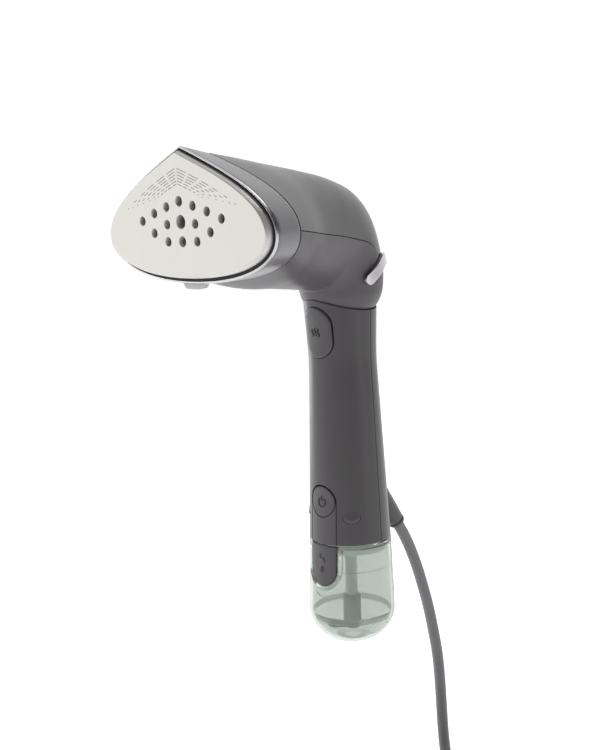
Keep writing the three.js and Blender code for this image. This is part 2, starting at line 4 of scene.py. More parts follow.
import bmesh
import bpy
from mathutils import Matrix, Vector
from mathutils.bvhtree import BVHTree


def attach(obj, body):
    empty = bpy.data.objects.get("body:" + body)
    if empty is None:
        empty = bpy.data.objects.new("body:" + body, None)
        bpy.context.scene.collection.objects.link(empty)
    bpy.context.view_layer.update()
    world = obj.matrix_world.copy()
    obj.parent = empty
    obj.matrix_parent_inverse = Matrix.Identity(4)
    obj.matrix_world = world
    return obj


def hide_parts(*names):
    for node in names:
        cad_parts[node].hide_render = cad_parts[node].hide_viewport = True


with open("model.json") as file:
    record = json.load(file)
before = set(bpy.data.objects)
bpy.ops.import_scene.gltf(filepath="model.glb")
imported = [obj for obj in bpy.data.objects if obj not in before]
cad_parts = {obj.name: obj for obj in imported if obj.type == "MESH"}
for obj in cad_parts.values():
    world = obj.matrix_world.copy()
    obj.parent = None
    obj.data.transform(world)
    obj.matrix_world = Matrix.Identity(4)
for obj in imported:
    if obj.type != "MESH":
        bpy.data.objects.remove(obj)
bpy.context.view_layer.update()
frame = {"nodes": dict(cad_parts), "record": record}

# Lengths below are in millimetres with heights from the joint between handle and tank, as in the CAD
# source, and at() turns them into the row frame in metres.
GRIP_HEIGHT = 78


def at(x, y, z):
    return Vector((x, y, z - GRIP_HEIGHT)) / 1000


def lerp(a, b, t):
    return a + (b - a) * t


def smooth(value, low, high):
    t = min(1.0, max(0.0, (value - low) / (high - low)))
    return t * t * (3 - 2 * t)


# ---------------------------------------------------------------- camera
def add_camera():
    data = bpy.data.cameras.new("camera")
    data.sensor_width = 36
    data.lens = 52.64
    data.clip_start = 0.01
    camera = bpy.data.objects.new("camera", data)
    bpy.context.scene.collection.objects.link(camera)
    place = Matrix.Translation((0.4459, -0.4752, 0.1181))
    azimuth, pitch, roll = (math.radians(a) for a in (45.583, -8.388, -1.995))
    turn = Matrix.Rotation(azimuth, 4, "Z") @ Matrix.Rotation(math.pi / 2 + pitch, 4, "X")
    camera.matrix_world = place @ turn @ Matrix.Rotation(roll, 4, "Z")
    bpy.context.scene.camera = camera


add_camera()

# ---------------------------------------------------------------- materials
def linear(value):
    value /= 255
    return value / 12.92 if value <= 0.04045 else ((value + 0.055) / 1.055) ** 2.4


def colour(red, green, blue):
    return (linear(red), linear(green), linear(blue), 1)


class Shader:
    """A node material built around one Principled shader."""

    def __init__(self, name, **sockets):
        self.material = bpy.data.materials.new(name)
        self.material.use_nodes = True
        self.tree = self.material.node_tree
        self.nodes = self.tree.nodes
        self.shader = self.nodes["Principled BSDF"]
        for key, value in sockets.items():
            self.shader.inputs[key.replace("_", " ")].default_value = value
        self.place = self.nodes.new("ShaderNodeTexCoord").outputs["Object"]

    def link(self, a, b):
        self.tree.links.new(a, b)

    def noise(self, scale, detail, stretch=None):
        node = self.nodes.new("ShaderNodeTexNoise")
        node.inputs["Scale"].default_value = scale
        node.inputs["Detail"].default_value = detail
        place = self.place
        if stretch:
            mapping = self.nodes.new("ShaderNodeMapping")
            mapping.inputs["Scale"].default_value = stretch
            self.link(place, mapping.inputs["Vector"])
            place = mapping.outputs["Vector"]
        self.link(place, node.inputs["Vector"])
        return node.outputs["Fac"]

    def ramp(self, value, stops):
        node = self.nodes.new("ShaderNodeValToRGB")
        elements = node.color_ramp.elements
        while len(elements) < len(stops):
            elements.new(0.5)
        for element, (position, shade) in zip(elements, stops):
            element.position = position
            element.color = shade if isinstance(shade, tuple) else (shade, shade, shade, 1)
        self.link(value, node.inputs["Fac"])
        return node.outputs["Color"]

    def bump(self, value, strength, distance):
        node = self.nodes.new("ShaderNodeBump")
        node.inputs["Strength"].default_value = strength
        node.inputs["Distance"].default_value = distance
        self.link(value, node.inputs["Height"])
        self.link(node.outputs["Normal"], self.shader.inputs["Normal"])

    def vary(self, shade, amount, scale, rough, stretch=None):
        """The base colour drifts by a share of itself, and the roughness between two values."""
        value = self.noise(scale, 4, stretch)
        dark = tuple(c * (1 - amount) for c in shade[:3]) + (1,)
        light = tuple(min(1, c * (1 + amount)) for c in shade[:3]) + (1,)
        for socket, low, high in (("Base Color", dark, light), ("Roughness", *rough)):
            self.link(self.ramp(value, [(0.3, low), (0.7, high)]), self.shader.inputs[socket])
        return self


def grained(name, shade, drift, rough, grain, stretch=None, **sockets):
    """A material with a fine grain: drift is the colour's share and scale, rough the lowest and the
    highest roughness, and grain its scale, detail, strength and depth."""
    made = Shader(name, **sockets).vary(shade, *drift, rough, stretch)
    scale, detail, strength, depth = grain
    made.bump(made.noise(scale, detail, stretch), strength, depth)
    return made.material


def plastic(name, shade, rough, grain=1800, amount=0.05, **sockets):
    """Moulded plastic with a fine spark-eroded grain and a faint drift in colour and gloss."""
    gloss = (rough - 0.03, rough + 0.04)
    return grained(name, shade, (amount, 35), gloss, (grain, 2, 0.35, 0.00002), **sockets)


def brushed(name, shade, rough, stretch):
    """Metal with fine drawn lines across it."""
    gloss = (rough - 0.05, rough + 0.06)
    return grained(name, shade, (0.06, 900), gloss, (1500, 2, 0.25, 0.00002), stretch, Metallic=1.0)


def clear_plastic(name, shade, rough):
    gloss = (rough, rough + 0.04)
    clear = {"IOR": 1.42, "Transmission_Weight": 0.92, "Specular_IOR_Level": 0.5}
    return grained(name, shade, (0.02, 25), gloss, (220, 2, 0.05, 0.00002), **clear)


def painted_glow_plastic(name, shade, strength):
    """Pale plastic with a painted glow: a faint emission stands in for the light that reaches it through the
    clear tank.
    """
    painted_glow = colour(186, 197, 190)
    return plastic(name, shade, 0.35, Emission_Color=painted_glow, Emission_Strength=strength)


FINISH = {
    "casing": plastic("casing_plastic", colour(70, 67, 70), 0.32),
    "lower_casing": plastic("casing_plastic_lower", colour(79, 76, 79), 0.42),
    "collar": plastic(
        "collar_satin", colour(118, 116, 119), 0.3, amount=0.03, Metallic=0.25, Specular_IOR_Level=0.8
    ),
    "bezel": brushed("bezel_metal", colour(196, 195, 198), 0.3, (1, 1, 1)),
    "control": plastic("control_plastic", colour(77, 74, 77), 0.34),
    "rubber": plastic("black_rubber", colour(22, 22, 23), 0.75, grain=2600),
    "ink": plastic("print_grey", colour(34, 33, 35), 0.5, grain=2600),
    # Near-black: painted shade for the thin lines along the gaps round the trigger, the buttons, the latches
    # and the door, and print for the steam sign.
    "gap": plastic("gap_shade_and_print_black", colour(26, 25, 27), 0.7, grain=2600),
    "plate_mark": plastic("plate_mark_grey", colour(112, 114, 112), 0.4, grain=2600),
    "white_plastic": plastic("white_nylon", colour(222, 222, 216), 0.5),
    "board": plastic("board_laminate", colour(38, 88, 52), 0.5, grain=900, amount=0.12),
    "steel": brushed("drawn_steel", colour(188, 188, 190), 0.3, (1, 1, 0.05)),
    "copper": brushed("wound_copper", colour(196, 118, 72), 0.35, (0.05, 0.05, 1)),
    "brass": brushed("nickelled_brass", colour(206, 186, 138), 0.25, (1, 0.05, 1)),
    "cast_metal": grained(
        "cast_aluminium", colour(168, 169, 170), (0.1, 160), (0.42, 0.6), (700, 5, 0.5, 0.0001),
        Metallic=1.0,
    ),
    "burnt_steel": plastic("burnt_steel", colour(52, 50, 52), 0.6, grain=900, Metallic=0.4),
    "chrome": grained(
        "satin_chrome", colour(190, 188, 192), (0.04, 120), (0.24, 0.32), (1200, 2, 0.1, 0.00001),
        Metallic=1.0,
    ),
    "soleplate": grained(
        "plate_ceramic", colour(231, 228, 222), (0.006, 25), (0.3, 0.32), (2400, 3, 0.12, 0.00001),
        Coat_Weight=0.35, Coat_Roughness=0.12,
    ),
    "plate_edge": plastic("plate_edge_glaze", colour(206, 204, 201), 0.36, amount=0.02, Metallic=0.35),
    "catch_tab": plastic("catch_tab_satin", colour(178, 177, 180), 0.35, amount=0.03),
    "cord_jacket": grained(
        "cord_pvc", colour(128, 126, 129), (0.05, 90), (0.48, 0.6), (1400, 3, 0.3, 0.00003)
    ),
    "tank_clear": clear_plastic("tank_clear_plastic", colour(212, 218, 213), 0.05),
    "tank_band": clear_plastic("tank_weld_plastic", colour(212, 220, 214), 0.25),
    "tank_tube": plastic("tube_plastic", colour(196, 206, 199), 0.4),
    # The lid and the suction tube glow faintly: painted light in place of the light that passes through the
    # clear tank to them.
    "tank_lid": painted_glow_plastic("lid_plastic_painted_glow", colour(216, 224, 218), 0.45),
    "tube_light": painted_glow_plastic("tube_plastic_painted_glow", colour(222, 229, 224), 0.12),
}

# Nodes that look different from the rest of their slot.
OWN_FINISH = {
    "heating_element": "burnt_steel",
    "chamber_cover": "burnt_steel",
    "thermostat": "burnt_steel",
    # The lid takes the finish with the painted glow.
    "tank_lid": "tank_lid",
}

for part in frame["record"]["subparts"]:
    materials = frame["nodes"][part["node"]].data.materials
    materials.clear()
    materials.append(FINISH[OWN_FINISH.get(part["node"], part["material_slot"])])


# ---------------------------------------------------------------- mesh helpers
def finish_mesh(obj, finish, body, replaced=()):
    obj.data.materials.clear()
    obj.data.materials.append(FINISH[finish])
    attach(obj, body)
    if replaced:
        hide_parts(*replaced)
    return obj


def object_of(name, points, faces, sharp=35):
    mesh = bpy.data.meshes.new(name)
    mesh.from_pydata([tuple(p) for p in points], [], faces)
    made = bmesh.new()
    made.from_mesh(mesh)
    bmesh.ops.remove_doubles(made, verts=made.verts, dist=1e-7)
    bmesh.ops.recalc_face_normals(made, faces=made.faces)
    made.to_mesh(mesh)
    made.free()
    mesh.shade_smooth()
    if sharp:
        mesh.set_sharp_from_angle(angle=math.radians(sharp))
    obj = bpy.data.objects.new(name, mesh)
    bpy.context.scene.collection.objects.link(obj)
    return obj


def bridge(rings, closed=False):
    """The faces between rings of equal length, and from the last to the first if closed."""
    count = len(rings[0])
    faces = []
    for i in range(len(rings) if closed else len(rings) - 1):
        a, b = i * count, ((i + 1) % len(rings)) * count
        for j in range(count):
            k = (j + 1) % count
            faces.append((a + j, a + k, b + k, b + j))
    return faces


def sheet(name, rings, closed=False, **options):
    """The skin through the rings: open at both ends, or a ring body if closed."""
    return object_of(name, [p for ring in rings for p in ring], bridge(rings, closed), **options)


def turn(count, shift=0.0):
    """Equal angles all the way round."""
    return [2 * math.pi * (i + shift) / count for i in range(count)]


def loft(name, rings, **options):
    """A closed body through the rings, with a fan over each end."""
    count = len(rings[0])
    points = [p for ring in rings for p in ring]
    faces = bridge(rings)
    for start, ring in ((0, rings[0]), ((len(rings) - 1) * count, rings[-1])):
        points.append(sum(ring, Vector()) / count)
        centre = len(points) - 1
        faces += [(centre, start + j, start + (j + 1) % count) for j in range(count)]
    return object_of(name, points, faces, **options)


def shell(name, outer, inner):
    """A tube wall between two stacks of rings, open at both ends."""
    return sheet(name, outer + inner[::-1], closed=True)


def bars(name, runs, sharp):
    """One mesh from several runs of rings, each closed at both ends."""
    points, faces = [], []
    for rings in runs:
        start, sides = len(points), len(rings[0])
        points += [p for ring in rings for p in ring]
        faces += [tuple(start + v for v in face) for face in bridge(rings)]
        faces += [tuple(range(first, first + sides)) for first in (start, len(points) - sides)]
    return object_of(name, points, faces, sharp=sharp)


def ellipsoid(name, centre, radii, rows, around, **options):
    rings = []
    for i in range(1, rows):
        a = math.pi * i / rows
        wide, deep, high = radii[0] * math.sin(a), radii[1] * math.sin(a), -radii[2] * math.cos(a)
        rings.append([
            at(centre[0] + wide * math.cos(b), centre[1] + deep * math.sin(b), centre[2] + high)
            for b in turn(around)
        ])
    return loft(name, rings, **options)


def prism(name, outline, direction):
    """A straight-sided body from an outline, as far as direction."""
    count = len(outline)
    points = [*outline, *(p + direction for p in outline)]
    faces = [tuple(range(count)), tuple(range(2 * count - 1, count - 1, -1))]
    faces += [(j, (j + 1) % count, count + (j + 1) % count, count + j) for j in range(count)]
    return object_of(name, points, faces, sharp=None)


def boolean(obj, operation, *tools):
    """obj cut by, or kept within, the tools, which are used up."""
    for tool in tools:
        modifier = obj.modifiers.new("boolean", "BOOLEAN")
        modifier.operation = operation
        modifier.solver = "EXACT"
        modifier.object = tool
        evaluated = obj.evaluated_get(bpy.context.evaluated_depsgraph_get())
        mesh = bpy.data.meshes.new_from_object(evaluated)
        obj.modifiers.clear()
        obj.data = mesh
        bpy.data.objects.remove(tool)
    return obj


def copy_of(obj, name):
    other = obj.copy()
    other.data = obj.data.copy()
    other.name = name
    bpy.context.scene.collection.objects.link(other)
    return other


def take_normals(obj, source, limit=0.85):
    """Shades the faces that lie in the source's skin like the source, and leaves the cut faces flat."""
    mesh = source.data
    tree = BVHTree.FromPolygons([v.co for v in mesh.vertices], [tuple(p.vertices) for p in mesh.polygons])
    vertex_normals = [v.normal.copy() for v in mesh.vertices]

    def skin_normal(point):
        place, _, index, _ = tree.find_nearest(point)
        face = mesh.polygons[index]
        normal = Vector()
        for v in face.vertices:
            away = (mesh.vertices[v].co - place).length + 1e-7
            normal += vertex_normals[v] / (away * away)
        return normal.normalized()

    target = obj.data
    target.shade_smooth()
    loops = [None] * len(target.loops)
    cache = {}
    for face in target.polygons:
        kept = abs(face.normal.dot(skin_normal(face.center))) > limit
        for i in face.loop_indices:
            v = target.loops[i].vertex_index
            if not kept:
                loops[i] = face.normal
                continue
            if v not in cache:
                cache[v] = skin_normal(target.vertices[v].co)
            loops[i] = cache[v] if cache[v].dot(face.normal) > 0 else -cache[v]
    target.normals_split_custom_set(loops)
    return obj


# ---------------------------------------------------------------- cord
CORD_RADIUS = 3.65
FLOOR = -180
COIL_LAY = FLOOR + 1 + CORD_RADIUS
COIL_START = math.radians(-68)
COIL_CENTRE = (22, -24)
COIL_RADIUS = 43.8
COIL_STEP = 7.45
PLUG_RADIUS = 18.5
PLUG_HEIGHT = FLOOR + PLUG_RADIUS
CORD_EXIT = at(0, 44, -1.6)


def coil_point(turns):
    """The stored coil, by turns: two layers, four turns wide, then most of a turn on top."""
    inward = sum(smooth(turns, k, k + 0.3) for k in (-0.3, 0.7, 1.7, 2.7))
    outward = sum(smooth(turns, k, k + 0.3) for k in (4.08, 5.08, 6.08))
    layer = smooth(turns, 3.4, 3.7) + smooth(turns, 6.78, 7.08)
    radius = COIL_RADIUS + COIL_STEP * (2.5 - inward + outward)
    angle = COIL_START - 2 * math.pi * turns
    x, y = COIL_CENTRE
    return at(x + radius * math.cos(angle), y + radius * math.sin(angle), COIL_LAY + COIL_STEP * layer)


HEADING = Vector((math.sin(COIL_START), -math.cos(COIL_START), 0))
SIDEWAYS = Vector((math.cos(COIL_START), math.sin(COIL_START), 0))


def from_coil(reach, side=0, lift=0):
    """A point on the plug's axis, so far from where the cord leaves the coil."""
    end = coil_point(8)
    point = end + (HEADING * reach + SIDEWAYS * side) / 1000
    point.z = at(0, 0, PLUG_HEIGHT + lift).z
    return point


def add_cord():
    hanging = [
        (0, 44.3, -2), (0.4, 51.5, -13.5), (1, 59.5, -30), (2.2, 65.2, -47), (3.8, 69.4, -64),
        (5.5, 72.4, -82), (7.2, 74.4, -100), (9.4, 73.8, -118), (12.5, 71.2, -135), (17.5, 66.5, -151),
        (25.5, 59.5, -165), (36, 49.5, -173), (47, 38.5, COIL_LAY), (58.5, 27.5, COIL_LAY),
    ]
    route = [at(*p) for p in hanging]
    per_turn, lead_in = 20, 6
    route += [coil_point(i / per_turn) for i in range(-lead_in, 8 * per_turn + 1)]
    route += [from_coil(reach) for reach in (14, 28, 41.5)]
    curve = bpy.data.curves.new("mains_cord_line", "CURVE")
    curve.dimensions = "3D"
    curve.bevel_depth = CORD_RADIUS / 1000
    curve.bevel_resolution = 5
    curve.resolution_u = 4
    curve.use_fill_caps = True
    spline = curve.splines.new("BEZIER")
    spline.bezier_points.add(len(route) - 1)
    for point, place in zip(spline.bezier_points, route):
        point.co = place
        point.handle_left_type = point.handle_right_type = "AUTO"
    obj = bpy.data.objects.new("cord_line", curve)
    bpy.context.scene.collection.objects.link(obj)
    return finish_mesh(obj, "cord_jacket", "handle", replaced=("mains_cord", "cord_coil", "cord_tail"))


cord = add_cord()

# ---------------------------------------------------------------- outlines and sections
PER_QUARTER = 28


def bezier(points, t):
    s = 1 - t
    shares = (s * s * s, 3 * s * s * t, 3 * s * t * t, t * t * t)
    return tuple(sum(w * p[i] for w, p in zip(shares, points)) for i in (0, 1))


def outline(half_width, top, bottom, side, peak):
    """An outline symmetric about X = 0, round where peak is 0 and pointed at the top where it is 1."""
    kappa = 0.5523
    upper = [
        (0, top),
        (lerp(kappa, 0.5, peak) * half_width, top - 0.3 * peak * (top - side)),
        (half_width, side + lerp(kappa, 0.39, peak) * (top - side)),
        (half_width, side),
    ]
    lower = [
        (half_width, side),
        (half_width, side - lerp(kappa, 0.63, peak) * (side - bottom)),
        (lerp(kappa, 0.59, peak) * half_width, bottom),
        (0, bottom),
    ]
    right = [bezier(upper, i / PER_QUARTER) for i in range(PER_QUARTER)]
    right += [bezier(lower, i / PER_QUARTER) for i in range(PER_QUARTER + 1)]
    return right + [(-x, y) for x, y in right[-2:0:-1]]


FLAT = (62.8, 34.8, -28.2, -7.4, 1)
COLLAR_FRONT = (67.2, 37.8, -32.6, -7.4, 1)
COLLAR_REAR = (63.5, 33.6, -33.2, -7.6, 0.9)
COLLAR_DEPTH = 23
PLATE_TILT = math.radians(3.7)


def grown(shape, by):
    half_width, top, bottom, side, peak = shape
    return half_width + by, top + by * lerp(1, 0.75, peak), bottom - by, side, peak


def between(a, b, t):
    return tuple(lerp(p, q, t) for p, q in zip(a, b))


def on_plate(x, y, depth):
    """The plate's frame: x across, y up the plate, depth back from its face."""
    sine, cosine = math.sin(PLATE_TILT), math.cos(PLATE_TILT)
    return at(x, -120 - y * sine + depth * cosine, 193.8 + y * cosine + depth * sine)


def plate_ring(shape, depth):
    return [on_plate(x, y, depth) for x, y in outline(*shape)]


PIVOT_Y, PIVOT_Z, BALL = -2, 155.6, 25.3


def ball_section(front, back):
    def on_ball(degrees):
        a = math.radians(degrees)
        return PIVOT_Y + BALL * math.cos(a), PIVOT_Z + BALL * math.sin(a)

    top, bottom = on_ball(back), on_ball(180 - front)
    return (*top, *bottom, math.dist(top, bottom) / 2, 0.5, 0)


def plate_section(shape, depth):
    half_width, top, bottom, side, peak = shape
    ends = []
    for y in (top, bottom):
        point = on_plate(0, y, depth)
        ends += [point.y * 1000, point.z * 1000 + GRIP_HEIGHT]
    return (*ends, half_width, (side - bottom) / (top - bottom), peak)


# Each is the top's y and z, the bottom's y and z, half the width, the widest place and the peak.
HEAD_SECTIONS = [
    plate_section(COLLAR_REAR, COLLAR_DEPTH + 0.3),
    (-81, 226.6, -79, 156.6, 55.5, 0.43, 0.6),
    (-62, 223.6, -63, 155.4, 46, 0.46, 0.3),
    (-41, 220.2, -46, 153.8, 39, 0.48, 0.1),
    (-20, 216, -35, 152.6, 33.8, 0.5, 0),
    (-4, 210.5, -31, 152.2, 30.6, 0.5, 0),
    (7.5, 201.6, -29.2, 151.8, 28.3, 0.5, 0),
    (15.2, 190.2, -28.4, 151.2, 26.8, 0.5, 0),
    (20.4, 176.5, -27.7, 150.8, 25.8, 0.5, 0),
    ball_section(-10, 6),
    ball_section(-22, -14),
    ball_section(-36, -26),
    ball_section(-47, -34),
    ball_section(-58, -41),
]


def curve_through(rows, steps):
    """Rows of numbers along one smooth curve through the given rows, spaced by their first two numbers."""
    gaps = [max(1e-6, math.dist(a[:4], b[:4])) for a, b in zip(rows, rows[1:])]
    slopes = []
    for i in range(len(rows)):
        if i == 0 or i == len(rows) - 1:
            a, b = (0, 1) if i == 0 else (i - 1, i)
            slopes.append([(q - p) / gaps[a] for p, q in zip(rows[a], rows[b])])
        else:
            before, after = gaps[i - 1], gaps[i]
            share = before / (before + after)
            slopes.append([
                lerp((q - p) / before, (r - q) / after, share)
                for p, q, r in zip(rows[i - 1], rows[i], rows[i + 1])
            ])
    made = []
    for i, gap in enumerate(gaps):
        for k in range(steps):
            t = k / steps
            a = 2 * t**3 - 3 * t**2 + 1
            b = (t**3 - 2 * t**2 + t) * gap
            c = -2 * t**3 + 3 * t**2
            d = (t**3 - t**2) * gap
            made.append([
                a * p + b * m + c * q + d * n
                for p, m, q, n in zip(rows[i], slopes[i], rows[i + 1], slopes[i + 1])
            ])
    return made + [list(rows[-1])]


def head_ring(section, inset):
    top_y, top_z, bottom_y, bottom_z, half_width, side, peak = section
    share = inset / math.dist((top_y, top_z), (bottom_y, bottom_z))
    ring = outline(half_width - inset, 1 - share, share, side, max(0, peak))
    return [at(x, lerp(bottom_y, top_y, f), lerp(bottom_z, top_z, f)) for x, f in ring]


# ---------------------------------------------------------------- head shells
SPLIT_LINE = [
    (-150, 191), (-90, 187), (-55, 184.2), (-32, 182), (-18, 180), (-5, 177.4), (0.5, 174.3), (2.6, 169.5),
    (3, 163),
]
LEVER_ELBOW = (9.7, 168.3)
WALL = 2.2
HEAD_CURVE = curve_through(HEAD_SECTIONS, 7)


def head_rings(inset):
    return [head_ring(section, inset) for section in HEAD_CURVE]


def side_prism(name, line):
    """A body from a side view, as (y, z) points, right across the object."""
    half = 80
    return prism(name, [at(-half, y, z) for y, z in line], Vector((2 * half / 1000, 0, 0)))


def above_split(lift):
    line = [*curve_through(SPLIT_LINE, 5), LEVER_ELBOW, (40, LEVER_ELBOW[1]), (40, 260), (-150, 260)]
    return side_prism("above_split", [(y, z + lift) for y, z in line])


def add_head_shells():
    outer = head_rings(0)
    skin = sheet("head_skin", outer)
    upper = shell("head_upper", outer, head_rings(WALL))
    lower = copy_of(upper, "head_lower")
    groove = 0.45
    boolean(upper, "INTERSECT", above_split(groove))
    boolean(lower, "DIFFERENCE", above_split(0))
    looks = ((upper, "casing", "head_upper_shell"), (lower, "lower_casing", "head_lower_shell"))
    for obj, finish, node in looks:
        take_normals(obj, skin)
        finish_mesh(obj, finish, "head", (node,))
    bpy.data.objects.remove(skin)


add_head_shells()


def add_lever():
    """The release lever: a rounded bar that rises along each side of the neck and runs round its back."""
    layer = shell("release_lever", head_rings(-2.5), head_rings(-0.35))
    # The lower tip's middle, and half the bar's width.
    low_y, low_z, reach = -6, 157.4, 3.2
    rise = math.atan2(LEVER_ELBOW[1] - low_z, LEVER_ELBOW[0] - low_y)
    steps = 14
    tip = [
        (low_y + reach * math.cos(a), low_z + reach * math.sin(a))
        for a in (rise + math.pi / 2 + math.pi * i / steps for i in range(steps + 1))
    ]
    # The bar's two edges turn level round the back with a soft corner.
    bend = math.tan(rise / 2) * reach
    (elbow_y, elbow_z), behind = LEVER_ELBOW, 45
    below = [(elbow_y + bend, elbow_z - reach), (behind, elbow_z - reach)]
    above = [(behind, elbow_z + reach), (elbow_y - bend, elbow_z + reach)]
    boolean(layer, "INTERSECT", side_prism("lever_bar", tip + below + above))
    soften = layer.modifiers.new("soften", "BEVEL")
    soften.width = 0.0013
    soften.segments = 4
    soften.limit_method = "ANGLE"
    soften.angle_limit = math.radians(50)
    layer.data.shade_smooth()
    finish_mesh(layer, "chrome", "release_lever", ("head_release_lever",))


add_lever()


def plate_band(name, profile, **options):
    """A ring round the plate, from (outwards, depth) points."""
    rings = [plate_ring(grown(FLAT, out), depth) for out, depth in profile]
    return sheet(name, rings, closed=True, **options)


def add_collar():
    def ring(share, grow, depth):
        return plate_ring(grown(between(COLLAR_FRONT, COLLAR_REAR, share), grow), depth)

    lip, rear = 5.5, COLLAR_DEPTH - 0.3
    outside = [ring(0, -1.1, 5.05), ring(0, -0.6, 4.92), ring(0, -0.2, 5.05), ring(0, 0, lip)]
    outside += [ring(t, 0, lerp(lip, rear, t)) for t in (0.1, 0.2, 0.35, 0.5, 0.65, 0.8, 0.9, 1)]
    outside += [ring(1, -0.3, COLLAR_DEPTH), ring(1, -1.5, COLLAR_DEPTH)]
    inside = [ring(t, -1.5, lerp(5.6, COLLAR_DEPTH, t)) for t in (0.75, 0.5, 0.25, 0)]
    collar = sheet("collar", outside + inside, closed=True, sharp=50)
    finish_mesh(collar, "collar", "head", ("head_collar",))

    bezel = plate_band("bezel", [
        (2.95, 4.65), (2.95, 3.85), (3.15, 3.62), (3.5, 3.55), (3.85, 3.65), (4.0, 3.95), (4.3, 4.65),
    ], sharp=60)
    finish_mesh(bezel, "bezel", "head", ("bezel_ring",))

    seal = plate_band("plate_gasket", [
        (1.5, 4.7), (1.5, 3.6), (1.7, 3.45), (2.6, 3.5), (2.8, 3.7), (2.8, 4.7),
    ])
    finish_mesh(seal, "rubber", "head", ("plate_seal",))


def add_catch():
    """The tab under the collar, a little rounded towards its ends, from (share of its drop, depth)."""
    profile = [
        (0, 4.7), (0.12, 4.55), (0.5, 4.6), (0.88, 4.55), (1, 4.7), (1, 7.8), (0.9, 8.1), (0, 8.1),
    ]
    top, drop = COLLAR_FRONT[2] + 0.3, 3.1
    rings = []
    for x in range(-10, 11):
        s = x / 10
        ease = 1 - abs(s) ** 6 * 0.25
        rings.append([
            on_plate(s * lerp(8.4, 7.2, share), top - drop * share * ease, depth) for share, depth in profile
        ])
    catch = loft("accessory_catch_tab", rings, sharp=40)
    finish_mesh(catch, "catch_tab", "head", ("accessory_catch",))


add_collar()
add_catch()


def steam_holes():
    """Each hole's place on the plate and its radius: a middle one and pairs beside it in three rows."""
    rows = (
        (10.7, (10.5, 7.9, 4.8, 1), 2.6),
        (11.4, (0, -1.2, -5.5), 3.5),
        (11.8, (-10.1, -10.1), 2.7),
    )
    holes = []
    for pitch, heights, middle in rows:
        holes.append((0, heights[0], middle))
        for i, y in enumerate(heights[1:], 1):
            holes += [(pitch * i, y, 2.4), (-pitch * i, y, 2.4)]
    return holes


def add_soleplate():
    profile = [
        (-0.25, 0), (-0.05, 0.03), (0.12, 0.15), (0.5, 0.75), (1, 1.6), (1.25, 2.1), (1.3, 2.5), (1.3, 5.8),
    ]
    plate = bars("heated_plate", [[plate_ring(grown(FLAT, g), d) for g, d in profile]], sharp=28)
    tools = []
    for x, y, radius in steam_holes():
        circle = [(radius * math.cos(a), radius * math.sin(a)) for a in turn(28, 0.37)]
        tools.append(loft("hole", [
            [on_plate(x + a * k, y + b * k, depth) for a, b in circle]
            for k, depth in ((1.25, -0.7), (1.0, 0.3), (1, 8))
        ], sharp=None))
    boolean(plate, "DIFFERENCE", *tools)
    finish_mesh(plate, "plate_edge", "head", ("soleplate",))
    plate.data.materials.append(FINISH["soleplate"])
    facing = (on_plate(0, 0, 0) - on_plate(0, 0, 1)).normalized()
    face_place = on_plate(0, 0, 0).dot(facing)
    for face in plate.data.polygons:
        flat = face.normal.dot(facing) > 0.999 and abs(face.center.dot(facing) - face_place) < 0.0002
        face.material_index = 1 if flat else 0
        face.use_smooth = not flat


add_soleplate()


def dash(x, y, half, thick, side):
    """One round-ended dash on the plate that slopes down towards the side."""
    edge = []
    for a in turn(8, 0.5):
        along = (half - thick) * (1 if math.cos(a) > 0 else -1) + thick * math.cos(a)
        across = x + along * 0.93
        fall = 0.33 * across + 0.0027 * across * across
        edge.append((side * across, y - fall + thick * math.sin(a)))
    return [[on_plate(*p, depth) for p in edge] for depth in (-0.02, 0.1)]


def add_plate_pattern():
    """Six chevron rows of fine dashes above the holes, which shorten towards their ends."""
    marks = ((0.1, 8), (0.31, 8), (0.507, 6), (0.675, 4.4), (0.843, 2.8), (1, 1.5))
    reaches = (43.4, 39.3, 34.6, 29.6, 23.8, 19.3)
    top, row_gap, gap_share = 27.2, 1.58, 0.94
    runs = []
    for row, reach in enumerate(reaches):
        for side in (-1, 1):
            for share, length in marks:
                half = max(0.35, length * (reach / reaches[0]) / 2 * gap_share)
                runs.append(dash(share * reach, top - row_gap * row, half, 0.23, side))
    pattern = bars("plate_pattern", runs, sharp=None)
    pattern.data.shade_flat()
    finish_mesh(pattern, "plate_mark", "head")


add_plate_pattern()


# ---------------------------------------------------------------- handle
def handle_radius(z):
    return 20.4 + (math.hypot(z - 110, 8) - 8) * (0.043 if z < 110 else 0.055)


def handle_point(angle, z, lift=0.0):
    """A point of the handle's skin, angle 0 at the front, moved outwards by lift."""
    r = handle_radius(z) + lift
    squash = (math.hypot(z - 90, 6) + z - 90) / 112
    x = (r - 1.1 * squash) * math.sin(angle)
    return x, -0.0185 * z - 0.4 * squash - (r + 0.9 * squash) * math.cos(angle), z


def handle_front(x, z, lift):
    """The front skin at a place in the front view."""
    angle = math.asin(max(-0.999, min(0.999, x / handle_radius(z))))
    return at(*handle_point(angle, z, lift))


def handle_ring(z, lift):
    return [at(*handle_point(angle, z, lift)) for angle in turn(144)]


def stadium(half_width, low, high, round_top=True, round_bottom=True, inset=0.0):
    """An upright outline with round or square ends, as (x, z), with the same count of points at any inset."""
    r = half_width - inset
    top = high - half_width if round_top else high - inset
    bottom = low + half_width if round_bottom else low + inset
    steps, sides = 18, 12

    def end(middle, way, rounded):
        angles = [math.pi * i / steps for i in range(steps + 1)]
        if rounded:
            return [(way * r * math.cos(a), middle + way * r * math.sin(a)) for a in angles]
        return [(way * r * (1 - 2 * i / steps), middle) for i in range(steps + 1)]

    points = end(top, 1, round_top)
    points += [(-r, lerp(top, bottom, i / sides)) for i in range(1, sides)]
    points += end(bottom, -1, round_bottom)
    return points + [(r, lerp(bottom, top, i / sides)) for i in range(1, sides)]


